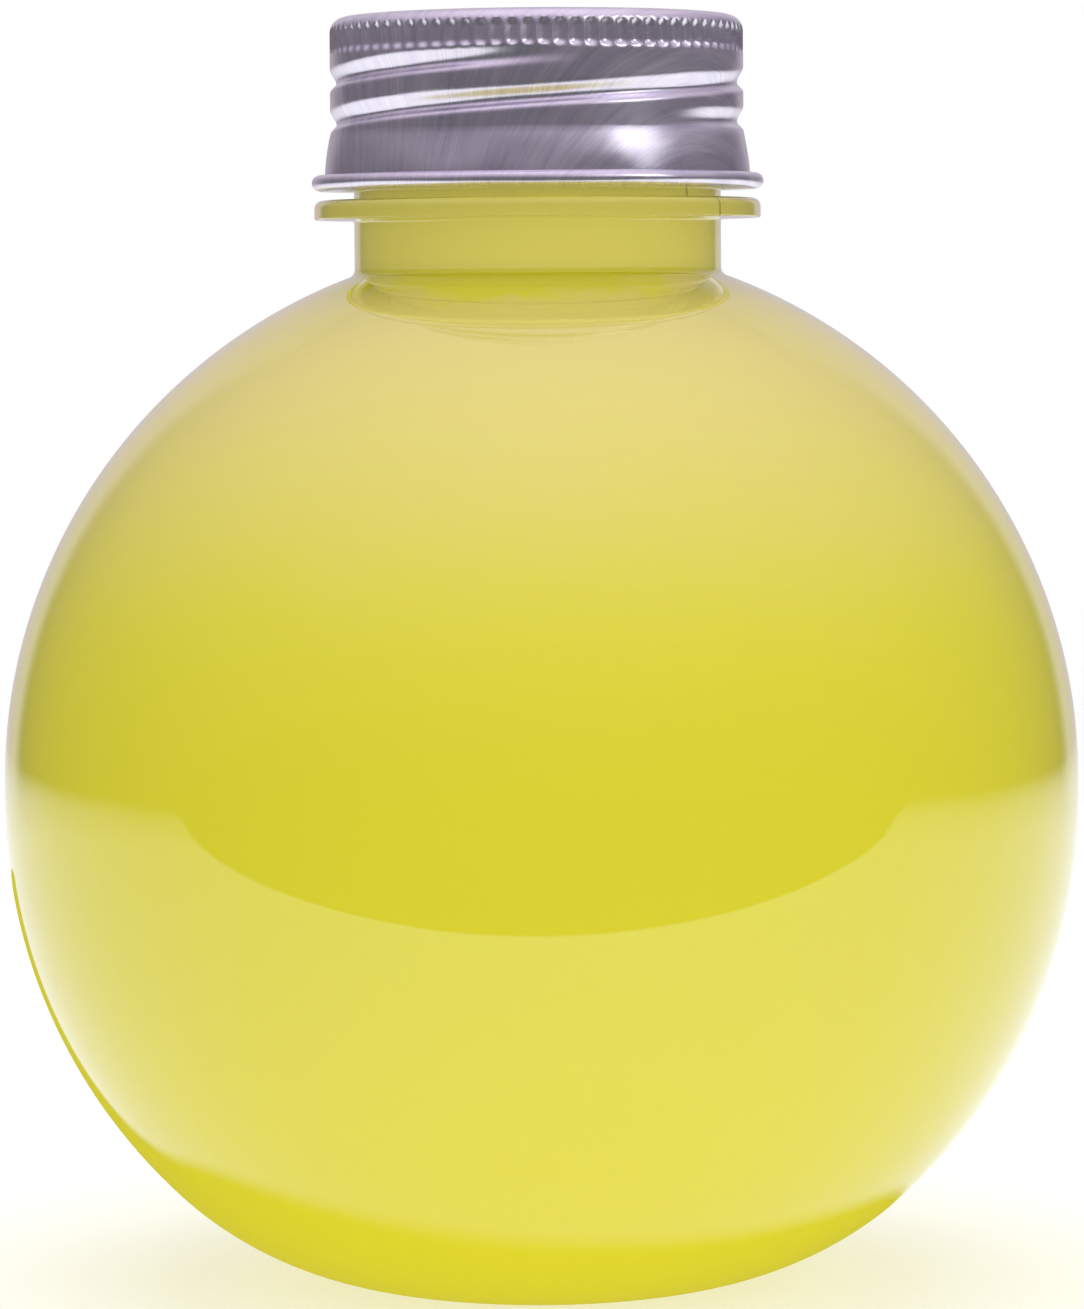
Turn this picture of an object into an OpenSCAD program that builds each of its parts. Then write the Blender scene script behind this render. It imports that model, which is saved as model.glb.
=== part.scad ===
// Ball-shaped clear bottle with a two-start screw neck, its yellow contents, and a pressed
// aluminium screw cap with a sealing disc. Millimetres, +Z up. The origin is on the surface that
// the bottle stands on, in the middle of the base. Angles are measured from +X, anticlockwise
// seen from above.

/* [Ball] */
// Outside diameter of the ball
body_d = 102.8; // [80:0.2:140]
// Height of the straight band between the two half balls
waist_h = 1.8; // [0.4:0.1:12]
// Thickness of the blown wall
wall = 0.8; // [0.5:0.05:1.5]

/* [Base] */
// Outside diameter of the flat ring that the bottle stands on
stand_d = 24; // [18:0.5:36]
// Width of that flat ring
stand_w = 1.5; // [0.6:0.1:3]
// Angle up from straight down at which the heel runs into the ball
heel_angle = 43.6; // [36:0.2:60]
// Height of the hollow in the middle of the base
pushup_h = 2.2; // [1.2:0.1:4]
// Radius of the round between the flat ring and that hollow
foot_r = 3; // [2:0.1:4]
// Diameter of the gate mark in the middle of the base
gate_d = 3.2; // [2:0.1:5]
// Height of the gate mark
gate_h = 0.5; // [0.2:0.1:0.8]

/* [Neck] */
// Outside diameter of the neck
neck_d = 35; // [28:0.2:45]
// Thickness of the neck's wall
neck_wall = 1.9; // [1.2:0.1:2.6]
// Height of the plain neck between the ball and the support ring
neck_h = 5.25; // [2:0.25:15]
// Radius of the fillet where the neck meets the ball
neck_fillet = 0.8; // [0.3:0.1:2.5]
// Radius of the round inside, where the ball runs into the neck
throat_r = 2.5; // [1:0.1:4]
// How far the support ring stands out from the neck
ring_out = 3.8; // [2:0.1:6]
// Thickness of the support ring
ring_t = 1.85; // [1.2:0.05:3]
// Radius of the support ring's upper edge
ring_edge = 0.8; // [0.3:0.1:1]
// Radius of the fillet under the support ring
ring_fillet = 0.4; // [0.2:0.1:1]
// Height of the neck from the support ring to the mouth
finish_h = 15.7; // [14.5:0.1:24]
// Radius of the mouth's two edges
mouth_edge = 0.4; // [0.2:0.05:0.55]

/* [Thread] */
// Number of starts of the thread
thread_starts = 2; // [1:1:3]
// Rise of the cap in one full turn
thread_lead = 7.2; // [6.4:0.1:8.4]
// Height of the neck's thread above the neck
thread_h = 1.65; // [1.2:0.05:2]
// Width of the thread where it leaves the neck
thread_root_w = 2.3; // [1.6:0.1:2.6]
// Width of the thread at its crest
thread_crest_w = 0.9; // [0.5:0.1:1.2]
// Angle at which the first start of the neck's thread begins
thread_from = -60; // [-90:5:-20]
// Angle that each start of the neck's thread covers
thread_arc = 245; // [120:5:250]
// Angle over which a thread on the neck grows to its height and dies out again
thread_fade = 24; // [10:2:40]
// Gap between the crest of the neck's thread and the cap's wall
thread_gap = 0.3; // [0.25:0.05:0.4]
// Play along the axis between the neck's thread and the cap's
thread_play = 0.3; // [0.2:0.05:0.4]

/* [Cap] */
// Thickness of the cap's sheet metal
sheet_t = 0.25; // [0.2:0.01:0.35]
// Radius of the cap's upper edge
cap_edge = 1.5; // [1:0.1:2.2]
// Depth of the rolled groove that is the cap's thread
groove_depth = 0.62; // [0.55:0.01:0.8]
// Width of the groove at the face of the cap
groove_w = 2.3; // [1.8:0.1:2.6]
// Width of the groove at its bottom
groove_floor_w = 0.5; // [0.3:0.1:0.8]
// Height above the support ring of the first groove, where it crosses +X
groove_rise = 7.5; // [7:0.1:8.5]
// Angle at which the first groove begins
groove_from = -60; // [-80:5:-30]
// Angle that each groove covers
groove_arc = 345; // [200:5:350]
// Angle over which a groove deepens at its lower end
groove_fade_in = 45; // [20:5:60]
// Angle over which a groove dies out at its upper end
groove_fade_out = 60; // [20:5:90]
// Distance of the knurls' upper end below the top of the cap
knurl_drop = 0.9; // [0.6:0.1:1.5]
// Length of the knurls
knurl_h = 2.7; // [1.5:0.1:3.2]
// Number of knurls
knurl_count = 84; // [48:6:96]
// Depth of a knurl
knurl_depth = 0.35; // [0.2:0.05:0.4]
// Radius of the round bottom of a knurl
knurl_r = 0.9; // [0.7:0.05:1.2]
// Height of the skirt below the step in the cap's wall
skirt_h = 4.45; // [3:0.05:4.8]
// Height of the step in the cap's wall
step_h = 1.3; // [0.8:0.1:1.5]
// How far the step stands out
step_out = 0.45; // [0.2:0.05:0.8]
// How much the skirt widens from the step down to the bead
skirt_flare = 0.15; // [0:0.05:0.5]
// Diameter of the rolled bead
bead_d = 1.5; // [1.2:0.1:2.2]
// Angle at which the rolled edge ends, short of the skirt
bead_end = 115; // [70:5:120]
// Gap between the bead and the support ring
ring_gap = 0.9; // [0.4:0.1:2]

/* [Sealing disc] */
// Thickness of the sealing disc
liner_t = 1.4; // [1:0.1:1.8]
// How far the disc reaches past the neck
liner_over = 1; // [0.3:0.1:1]
// Chamfer around the disc
liner_chamfer = 0.4; // [0.2:0.1:0.5]

/* [Contents] */
// Depth of the liquid's surface below the mouth
fill_drop = 11.5; // [6:0.5:20]
// Gap between the liquid and the wall
fill_gap = 0.05; // [0.03:0.01:0.2]

/* [Hidden] */
// Largest angle between two points of an arc in an outline
arc_step = 2.5;
// Largest angle between two points of a small round
round_step = 15;
// Angle between two sections of a thread
thread_step = 7.5;
// How far a piece reaches into what it is joined to, or a cut past what it cuts
bite = 0.12;
$fn = 96;

// The ball, its heel and the hollow in its base
body_r = body_d / 2;
stand_r = stand_d / 2;
stand_in_r = stand_r - stand_w;
heel_reach = stand_r / sin(heel_angle);
heel_r = body_r - heel_reach;
low_z = heel_r + heel_reach * cos(heel_angle);
high_z = low_z + waist_h;
pushup_reach = (pow(stand_in_r, 2) + pow(pushup_h, 2)) / (2 * pushup_h);
pushup_r = pushup_reach - foot_r;
pushup_angle = asin(stand_in_r / pushup_reach);
gate_r = gate_d / 2;

// The neck, from the ball up to the mouth
neck_r = neck_d / 2;
bore_r = neck_r - neck_wall;
fillet_reach = body_r + neck_fillet;
fillet_angle = acos((neck_r + neck_fillet) / fillet_reach);
throat_reach = body_r - wall + throat_r;
throat_angle = acos((bore_r + throat_r) / throat_reach);
shoulder_z = high_z + sqrt(pow(body_r, 2) - pow(neck_r, 2));
ring_z = shoulder_z + neck_h;
ring_top_z = ring_z + ring_t;
ring_r = neck_r + ring_out;
mouth_z = ring_top_z + finish_h;
fill_z = mouth_z - fill_drop;

// The cap, which takes its bore from the neck's thread and its height from the mouth
crest_r = neck_r + thread_h;
cap_in_r = crest_r + thread_gap;
cap_r = cap_in_r + sheet_t;
cap_base_z = ring_top_z + ring_gap;
cap_top_z = mouth_z + liner_t + sheet_t;
step_z = cap_base_z + skirt_h;
knurl_top_z = cap_top_z - knurl_drop;
knurl_z = knurl_top_z - knurl_h;
band_r = cap_in_r - knurl_depth;
inner_edge = band_r - (cap_r - cap_edge);
skirt_r = cap_r + step_out + skirt_flare;
bead_r = bead_d / 2;
bead_mid_r = skirt_r - sheet_t + bead_r;
bead_mid_z = cap_base_z + bead_r;
liner_r = neck_r + liner_over;

// The groove in the cap, the ridge that it raises inside, and where the neck's thread seats on it
groove_slope = (groove_w - groove_floor_w) / 2 / groove_depth;
flank = sqrt(1 + pow(groove_slope, 2));
ridge_tip_w = groove_floor_w + 2 * sheet_t * (flank - groove_slope);
ridge_tip_r = cap_in_r - groove_depth;
ridge_at_crest = ridge_tip_w / 2 + (crest_r - ridge_tip_r) * groove_slope;
groove_z = ring_top_z + groove_rise;
thread_z = groove_z + thread_crest_w / 2 + ridge_at_crest + thread_play;

// Points of an arc about c, from angle a to angle b
function arc(c, r, a, b, step = arc_step) =
    let (n = ceil(abs(b - a) / step))
    [for (i = [0:n]) let (t = a + (b - a) * i / n) c + r * [cos(t), sin(t)]];

// A soft step from 0 to 1
function ease(t) = (1 - cos(180 * min(1, max(0, t)))) / 2;

// The same points in the other order
function turned(p) = [for (i = [len(p) - 1:-1:0]) p[i]];

// An outline without its doubled points
function clean(p) = [for (i = [0:len(p) - 1])
    if (norm(p[i] - p[(i + 1) % len(p)]) > 0.001) p[i]];

// The wall's outline from the flat ring up to the neck, moved in from the outside by d
function ball_side(d) = concat(
    arc([stand_r, heel_r], heel_r - d, -90, heel_angle - 90),
    arc([0, low_z], body_r - d, heel_angle - 90, 0)
);

// The hollow of the base from the middle out to the flat ring, moved in from the outside by d
function hollow(d, from_r = 0) = concat(
    arc([0, pushup_h - pushup_r], pushup_r + d, 90 - asin(from_r / (pushup_r + d)), 90 - pushup_angle),
    arc([stand_in_r, foot_r], foot_r - d, -90 - pushup_angle, -90, round_step / 3)
);

// The inside of the bottle up to the throat, with the gap g left off it
function inside(g) = concat(
    hollow(wall + g),
    ball_side(wall + g),
    arc([0, high_z], body_r - wall - g, 0, throat_angle),
    arc([bore_r + throat_r, high_z + throat_reach * sin(throat_angle)],
        throat_r + g, 180 + throat_angle, 180, round_step / 2)
);

// The outside of the bottle from the gate mark up to the mouth
function outside() = concat(
    [[0, pushup_h - gate_h], [gate_r, pushup_h - gate_h]],
    hollow(0, gate_r),
    ball_side(0),
    arc([0, high_z], body_r, 0, fillet_angle),
    arc([neck_r + neck_fillet, high_z + fillet_reach * sin(fillet_angle)],
        neck_fillet, 180 + fillet_angle, 180, round_step),
    arc([neck_r + ring_fillet, ring_z - ring_fillet], ring_fillet, 180, 90, round_step),
    [[ring_r, ring_z]],
    arc([ring_r - ring_edge, ring_top_z - ring_edge], ring_edge, 0, 90, round_step),
    [[neck_r, ring_top_z]],
    arc([neck_r - mouth_edge, mouth_z - mouth_edge], mouth_edge, 0, 90, round_step)
);

// The mouth's inner edge, then down the bore
function bore_side() = arc([bore_r + mouth_edge, mouth_z - mouth_edge], mouth_edge, 90, 180, round_step);

// The step in the cap's wall, seen at a distance d inside the outer face
function step_side(d) = [for (i = [0:6])
    [cap_r - d + step_out * ease(i / 6), step_z + step_h * (1 - i / 6)]];

// The cap's sheet: down the outside, round the bead and back up the inside
function sheet_outline() = concat(
    [[0, cap_top_z]],
    arc([cap_r - cap_edge, cap_top_z - cap_edge], cap_edge, 90, 0, round_step / 2),
    step_side(0),
    arc([bead_mid_r, bead_mid_z], bead_r - sheet_t, 180, 360 + bead_end, round_step),
    arc([bead_mid_r, bead_mid_z], bead_r, 360 + bead_end, 180, round_step),
    turned(step_side(sheet_t)),
    [[cap_in_r, knurl_z - knurl_depth - bite], [band_r, knurl_z - bite]],
    arc([cap_r - cap_edge, cap_top_z - sheet_t - inner_edge], inner_edge, 0, 90, round_step / 2),
    [[0, cap_top_z - sheet_t]]
);

// A thread swept from angle a over the angle sweep. section(f) gives its outline as [radius, height]
// for f from 0, where the thread vanishes, to 1, where it is full.
module thread(section, a, sweep, z, fade_in, fade_out) {
    n = ceil(sweep / thread_step);
    m = len(section(1));
    points = [for (i = [0:n]) let (
        t = sweep * i / n,
        f = ease(t / fade_in) * ease((sweep - t) / fade_out)
    ) for (p = section(f))
        [p[0] * cos(a + t), p[0] * sin(a + t), z + thread_lead * (a + t) / 360 + p[1]]];
    sides = [for (i = [0:n - 1], j = [0:m - 1]) let (k = (j + 1) % m)
        each [[i * m + j, (i + 1) * m + k, i * m + k], [i * m + j, (i + 1) * m + j, (i + 1) * m + k]]];
    ends = [[for (j = [0:m - 1]) j], [for (j = [m - 1:-1:0]) n * m + j]];
    polyhedron(points, concat(sides, ends));
}

// Copies what it is given once for each start of the thread
module each_start() {
    for (i = [0:thread_starts - 1]) rotate([0, 0, 360 * i / thread_starts]) children();
}

module neck_thread() {
    section = function(f) let (r = neck_r + thread_h * f - bite * (1 - f)) [
        [neck_r - 2 * bite, thread_root_w / 2],
        [r, thread_crest_w / 2],
        [r, -thread_crest_w / 2],
        [neck_r - 2 * bite, -thread_root_w / 2]
    ];
    thread(section, thread_from, thread_arc, thread_z, thread_fade, thread_fade);
}

module cap_groove() {
    mouth = groove_floor_w / 2 + groove_slope * (groove_depth + step_out + bite);
    section = function(f) let (r = cap_r - groove_depth * f + bite * (1 - f)) [
        [r + groove_depth + step_out + bite, -mouth],
        [r, -groove_floor_w / 2],
        [r, groove_floor_w / 2],
        [r + groove_depth + step_out + bite, mouth]
    ];
    thread(section, groove_from, groove_arc, groove_z, groove_fade_in, groove_fade_out);
}

module cap_ridge() {
    foot = ridge_tip_w / 2 + groove_slope * groove_depth;
    section = function(f) let (r = cap_in_r - groove_depth * f + bite / 2 * (1 - f)) [
        [cap_in_r + bite, -foot],
        [r, -ridge_tip_w / 2],
        [r, ridge_tip_w / 2],
        [cap_in_r + bite, foot]
    ];
    thread(section, groove_from, groove_arc, groove_z, groove_fade_in, groove_fade_out);
}

module knurls() {
    for (i = [0:knurl_count - 1]) rotate([0, 0, 360 * i / knurl_count])
        translate([cap_r - knurl_depth + knurl_r, 0, knurl_z]) cylinder(r = knurl_r, h = knurl_h);
}

module bottle() color([0.88, 0.92, 0.94, 0.35]) union() {
    rotate_extrude() polygon(clean(concat(
        outside(),
        bore_side(),
        turned(inside(0))
    )));
    each_start() neck_thread();
}

module liquid() color([0.86, 0.83, 0.28]) rotate_extrude() polygon(clean(concat(
    inside(fill_gap),
    [[bore_r - fill_gap, fill_z], [0, fill_z]]
)));

module cap() color([0.75, 0.74, 0.78]) difference() {
    union() {
        rotate_extrude() polygon(clean(sheet_outline()));
        each_start() cap_ridge();
    }
    each_start() cap_groove();
    knurls();
}

module liner() color([0.95, 0.95, 0.93]) rotate_extrude() polygon([
    [0, mouth_z],
    [liner_r - liner_chamfer, mouth_z],
    [liner_r, mouth_z + liner_chamfer],
    [liner_r, mouth_z + liner_t - liner_chamfer],
    [liner_r - liner_chamfer, mouth_z + liner_t],
    [0, mouth_z + liner_t]
]);

bottle();
liquid();
cap();
liner();
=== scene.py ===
"""A clear ball-shaped bottle of yellow liquid with a pressed aluminium screw cap, on a pale studio floor.

Lengths are in metres and angles in radians, as Blender holds them. Angles around the bottle are measured
from +X, anticlockwise seen from above, and the bottle's axis is the Z axis. The camera looks along +Y.
"""

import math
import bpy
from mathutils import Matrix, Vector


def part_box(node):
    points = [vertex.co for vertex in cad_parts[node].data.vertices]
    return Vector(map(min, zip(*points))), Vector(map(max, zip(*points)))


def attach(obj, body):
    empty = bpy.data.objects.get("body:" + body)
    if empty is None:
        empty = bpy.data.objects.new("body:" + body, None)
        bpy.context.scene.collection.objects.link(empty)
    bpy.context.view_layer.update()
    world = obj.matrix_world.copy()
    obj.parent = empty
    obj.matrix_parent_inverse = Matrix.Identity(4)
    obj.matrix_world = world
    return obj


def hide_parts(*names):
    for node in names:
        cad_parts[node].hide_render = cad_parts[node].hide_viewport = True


bl_info = {
    "name": "Ball bottle with aluminium cap",
    "version": (1, 0, 0),
    "blender": (4, 5, 0),
    "location": "3D View > Sidebar > Bottle",
    "description": "Builds a clear ball-shaped bottle, its yellow contents, its screw cap and a plain studio",
    "category": "Add Mesh",
}

import bpy
import numpy as np
from bpy.props import FloatProperty, FloatVectorProperty, IntProperty, PointerProperty
from mathutils import Matrix, Vector

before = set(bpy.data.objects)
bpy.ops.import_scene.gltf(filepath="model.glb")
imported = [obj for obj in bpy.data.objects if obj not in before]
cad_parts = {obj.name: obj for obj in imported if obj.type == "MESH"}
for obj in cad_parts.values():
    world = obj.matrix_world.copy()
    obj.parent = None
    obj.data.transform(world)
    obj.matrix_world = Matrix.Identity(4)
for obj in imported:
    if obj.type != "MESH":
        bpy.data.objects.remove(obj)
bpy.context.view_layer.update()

MM = 0.001
BOTTLE_LOW, BOTTLE_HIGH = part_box("bottle")
LIQUID_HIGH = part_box("liquid")[1]
CAP_LOW, CAP_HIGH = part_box("cap")
LINER_LOW, LINER_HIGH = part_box("liner")
# Two points of a mesh that are nearer than this are one point
WELD = 1e-6
# Faces that meet at less than this angle are shaded as one surface
SMOOTH_ANGLE = math.radians(38)


def size(name, description, default, low=0.0, high=1.0):
    """A length that the user may change, in metres."""
    return FloatProperty(
        name=name, description=description, default=default, min=low, max=high, precision=5,
        subtype="DISTANCE", unit="LENGTH",
    )


def turn(name, description, degrees):
    """An angle that the user may change."""
    return FloatProperty(name=name, description=description, default=math.radians(degrees), subtype="ANGLE")


def count(name, description, default, low=3, high=2000):
    """A whole number that the user may change."""
    return IntProperty(name=name, description=description, default=default, min=low, max=high)


def number(name, description, default, low=0.0, high=100.0):
    """A plain number that the user may change."""
    return FloatProperty(name=name, description=description, default=default, min=low, max=high)


def share(name, description, default):
    """A number from 0 to 1 that the user may change."""
    return FloatProperty(name=name, description=description, default=default, min=0, max=1, subtype="FACTOR")


def tint(name, description, red, green, blue):
    """A colour that the user may change."""
    return FloatVectorProperty(
        name=name, description=description, default=(red, green, blue), min=0, max=1, size=3, subtype="COLOR"
    )


class BottleSizes(bpy.types.PropertyGroup):
    """Sizes of the blown shell."""

    body_d: size("Ball diameter", "Outside diameter of the ball", BOTTLE_HIGH.x - BOTTLE_LOW.x)
    waist_h: size("Waist", "Height of the straight band between the two half balls", 1.8 * MM)
    wall: size("Wall", "Thickness of the blown wall", 0.8 * MM)
    stand_d: size("Standing ring", "Outside diameter of the flat ring that the bottle stands on", 24 * MM)
    stand_w: size("Ring width", "Width of that flat ring", 1.5 * MM)
    heel_angle: turn("Heel", "Angle up from straight down at which the heel runs into the ball", 43.6)
    pushup_h: size("Hollow", "Height of the hollow in the middle of the base", 2.2 * MM)
    foot_r: size("Foot round", "Radius of the round between the flat ring and that hollow", 3 * MM)
    gate_d: size("Gate mark", "Diameter of the gate mark in the middle of the base", 3.2 * MM)
    gate_h: size("Gate height", "Height of the gate mark", 0.5 * MM)
    neck_d: size("Neck diameter", "Outside diameter of the neck", 35 * MM)
    neck_wall: size("Neck wall", "Thickness of the neck's wall", 1.9 * MM)
    neck_fillet: size("Neck fillet", "Radius of the fillet where the neck meets the ball", 0.8 * MM)
    throat_r: size("Throat", "Radius of the round inside, where the ball runs into the neck", 2.5 * MM)
    ring_out: size("Support ring", "How far the support ring stands out from the neck", 3.8 * MM)
    ring_t: size("Ring thickness", "Thickness of the support ring", 1.85 * MM)
    ring_edge: size("Ring edge", "Radius of the support ring's upper edge", 0.8 * MM)
    ring_fillet: size("Ring fillet", "Radius of the fillet under the support ring", 0.4 * MM)
    finish_h: size("Finish height", "Height of the neck from the support ring to the mouth", 15.7 * MM)
    mouth_edge: size("Mouth edge", "Radius of the mouth's two edges", 0.4 * MM)
    columns: count("Columns", "Number of faces around the shell", 240)


class ThreadSizes(bpy.types.PropertyGroup):
    """Sizes of the thread on the neck and in the cap."""

    starts: count("Starts", "Number of starts of the thread", 2, 1, 4)
    lead: size("Lead", "Rise of the cap in one full turn", 7.2 * MM)
    height: size("Thread height", "Height of the neck's thread above the neck", 1.65 * MM)
    root_w: size("Root width", "Width of the neck's thread where it leaves the neck", 2.3 * MM)
    crest_w: size("Crest width", "Width of the neck's thread at its crest", 0.9 * MM)
    rise: size("Thread rise", "Height of the neck's thread above the support ring, at +X", 9.04 * MM)
    begin: turn("Thread start", "Angle at which the first start of the neck's thread begins", -60)
    arc: turn("Thread arc", "Angle that each start of the neck's thread covers", 245)
    fade: turn("Thread fade", "Angle over which a thread on the neck grows and dies out", 24)
    gap: size("Thread gap", "Gap between the crest of the neck's thread and the cap's wall", 0.3 * MM)
    row_h: size("Row height", "Height of a row of faces across the neck's thread", 0.16 * MM)


class CapSizes(bpy.types.PropertyGroup):
    """Sizes of the pressed cap."""

    sheet_t: size("Sheet", "Thickness of the sheet metal", 0.25 * MM)
    edge: size("Upper edge", "Radius of the cap's upper edge", 1.5 * MM)
    groove_depth: size("Groove depth", "Depth of the rolled groove that is the cap's thread", 0.62 * MM)
    groove_lead: size("Groove lead", "Rise of a groove in one full turn", 7.8 * MM)
    flank_up: size("Upper flank", "Height of the groove's upper flank, which faces down", 1.5 * MM)
    flank_down: size("Lower flank", "Height of the groove's lower flank, which faces up", 0.9 * MM)
    groove_rise: size("Groove rise", "Height of the first groove above the support ring, at +X", 7.1 * MM)
    groove_begin: turn("Groove start", "Angle at which the first groove begins", -60)
    groove_arc: turn("Groove arc", "Angle that each groove covers", 345)
    fade_in: turn("Fade in", "Angle over which a groove deepens at its lower end", 45)
    fade_out: turn("Fade out", "Angle over which a groove dies out at its upper end", 45)
    run_in: size("Run-in", "How much higher than its helix the first groove begins", 0.9 * MM)
    run_in_arc: turn("Run-in arc", "Angle over which the groove comes down to its helix", 85)
    knurl_drop: size("Knurl drop", "Distance of the knurls' upper end below the top of the cap", 0.9 * MM)
    knurl_h: size("Knurl length", "Length of the knurls", 2.7 * MM)
    knurl_end: size("Knurl end", "Length of a knurl's rounded end", 0.7 * MM)
    knurl_depth: size("Knurl depth", "Depth of a knurl", 0.34 * MM)
    knurl_share: share("Knurl share", "Share of the rim that the knurls take, with ridges between them", 0.95)
    knurls: count("Knurls", "Number of knurls", 84)
    skirt_h: size("Skirt", "Height of the skirt, which swells out below the cap's wall", 5.5 * MM)
    skirt_out: size("Swell", "How far the skirt swells out, down to the bead", 0.6 * MM)
    bead_d: size("Bead", "Diameter of the rolled bead", 1.5 * MM)
    bead_end: turn("Bead end", "Angle at which the rolled edge ends, short of the skirt", 115)
    ripple: size("Ripple", "How far the skirt waves in and out", 0.03 * MM)
    row_h: size("Row height", "Height of a row of faces across the grooves", 0.2 * MM)


class FillSizes(bpy.types.PropertyGroup):
    """Sizes of the liquid and of the sealing disc."""

    overlap: size("Overlap", "How far the liquid reaches into the wall, so that the two touch", 0.03 * MM)
    meniscus: size("Meniscus", "Height that the liquid climbs up the wall", 0.9 * MM)
    meniscus_w: size("Meniscus width", "Distance from the wall over which the liquid climbs", 2.4 * MM)
    columns: count("Columns", "Number of faces around the liquid", 160)
    disc_edge: size("Disc edge", "Chamfer around the sealing disc", 0.4 * MM)
    disc_dent: size("Disc dent", "Depth that the mouth has pressed into the disc", 0.06 * MM)


class Colours(bpy.types.PropertyGroup):
    """Colours of the pieces."""

    plastic: tint("Clear plastic", "Tint of the bottle's plastic", 0.975, 0.98, 0.985)
    seam: tint("Parting line", "Tint of the plastic along the mould's parting line", 0.22, 0.2, 0.16)
    liquid: tint("Liquid", "Colour of the liquid", 0.735, 0.668, 0.028)
    # Painted reflection: the liquid's colour where the upper ball is painted paler, standing in for the
    # overhead light's reflection
    painted_sheen: tint("Sheen", "Colour of the liquid where it is whitened", 0.74, 0.63, 0.15)
    # Painted light: the liquid in the neck is painted lighter than in the ball, to make up for the shade that
    # the cap casts there
    neck: tint("Neck", "Colour of the liquid in the neck", 0.83, 0.74, 0.14)
    metal: tint("Aluminium", "Colour of the bare metal", 0.94, 0.91, 1.0)
    grain: tint("Grain", "Colour of the metal in its rolling grain", 0.71, 0.68, 0.86)
    foam: tint("Foam", "Colour of the sealing disc", 0.9, 0.9, 0.87)
    floor: tint("Floor", "Colour of the floor", 0.62, 0.62, 0.62)
    under: tint("Under", "Colour of the floor in reflections, where the bottle shades it", 0.62, 0.56, 0.05)


class StudioSettings(bpy.types.PropertyGroup):
    """Camera, lamps and surroundings."""

    distance: size("Camera distance", "Distance of the camera in front of the bottle's axis", 527 * MM, 0, 5)
    height: size("Camera height", "Height of the camera above the floor", 95.2 * MM, 0, 2)
    aside: size("Camera aside", "Distance of the camera to the right of the axis", 0.12 * MM, -1, 1)
    pitch: turn("Pitch", "Angle by which the camera looks down", 3.79)
    roll: turn("Roll", "Angle by which the camera is turned about its own axis", -0.42)
    lens: number("Lens", "Focal length of the lens, in millimetres", 182.7, 10, 500)
    ambient: number("Ambient", "Strength of the light from all around on dull surfaces", 0.66)
    overhead: number("Overhead lamp", "Brightness of the soft lamp overhead, where 1 is white", 1.6)
    overhead_w: size("Overhead size", "Width of the soft lamp overhead", 800 * MM, 0, 5)
    overhead_z: size("Overhead height", "Height of the soft lamp overhead", 900 * MM, 0, 5)
    front: number("Front lamp", "Brightness of the wide soft lamp in front, where 1 is white", 0.78)
    front_w: size("Front size", "Width of the soft lamp in front", 1200 * MM, 0, 5)
    front_r: size("Front distance", "Distance of that lamp from the bottle", 1000 * MM, 0, 5)
    front_turn: turn("Front angle", "Angle of that lamp, to the right of the camera", 15)
    front_rise: turn("Front rise", "Angle of that lamp above the floor", 12)
    streak: number("Cap lamp", "Brightness of the lamp for the cap's highlight, where 1 is white", 1.7)
    streak_w: size("Cap lamp size", "Width of that lamp", 300 * MM, 0, 5)
    streak_r: size("Cap lamp distance", "Distance of that lamp from the bottle", 700 * MM, 0, 5)
    streak_turn: turn("Cap lamp angle", "Angle of that lamp, to the right of the camera", 56)
    streak_rise: turn("Cap lamp rise", "Angle of that lamp above the floor", 36)
    sheet_turn: turn("Backdrop half width", "Angle to each side that the backdrop covers in reflections", 26)
    sheet_rise: turn("Backdrop height", "Angle up to which the pale backdrop reaches in reflections", 36)
    sheet_tint: tint("Backdrop tint", "Colour of the pale backdrop in reflections", 0.62, 0.56, 0.60)
    table_front: size("Table front", "Distance from the axis to the white table's front", 139 * MM, 0, 2)
    room: share("Room", "Brightness of the room around the table in reflections, at eye level", 0.13)
    room_top: share("Room top", "Brightness of the room overhead in reflections", 1.0)
    room_tint: tint("Room tint", "Colour of the room in reflections, overhead", 1.0, 0.88, 1.0)


def arc(centre, radius, begin, end, step):
    """Points of an arc from one angle to another, at most a step apart."""
    parts = max(1, math.ceil(abs(end - begin) / step - 1e-9))
    angles = [begin + (end - begin) * i / parts for i in range(parts + 1)]
    return [(centre[0] + radius * math.cos(a), centre[1] + radius * math.sin(a)) for a in angles]


def line(begin, end, step):
    """Points of a straight line from one point to another, at most a step apart."""
    parts = max(1, math.ceil(math.dist(begin, end) / step - 1e-9))
    return [tuple(a + (b - a) * i / parts for a, b in zip(begin, end)) for i in range(parts + 1)]


def clean(points):
    """The same outline without doubled points."""
    kept = [points[0]]
    for point in points[1:]:
        if math.dist(point, kept[-1]) > 20 * WELD:
            kept.append(point)
    return kept


def ease(t):
    """A soft step from 0 to 1, for numbers and arrays."""
    return (1 - np.cos(np.pi * np.clip(t, 0, 1))) / 2


# Angle between two points of the ball's outline, and of a small round, and a right angle
BALL_STEP = math.radians(1.6)
ROUND_STEP = math.radians(12)
RIGHT = math.radians(90)


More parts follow.
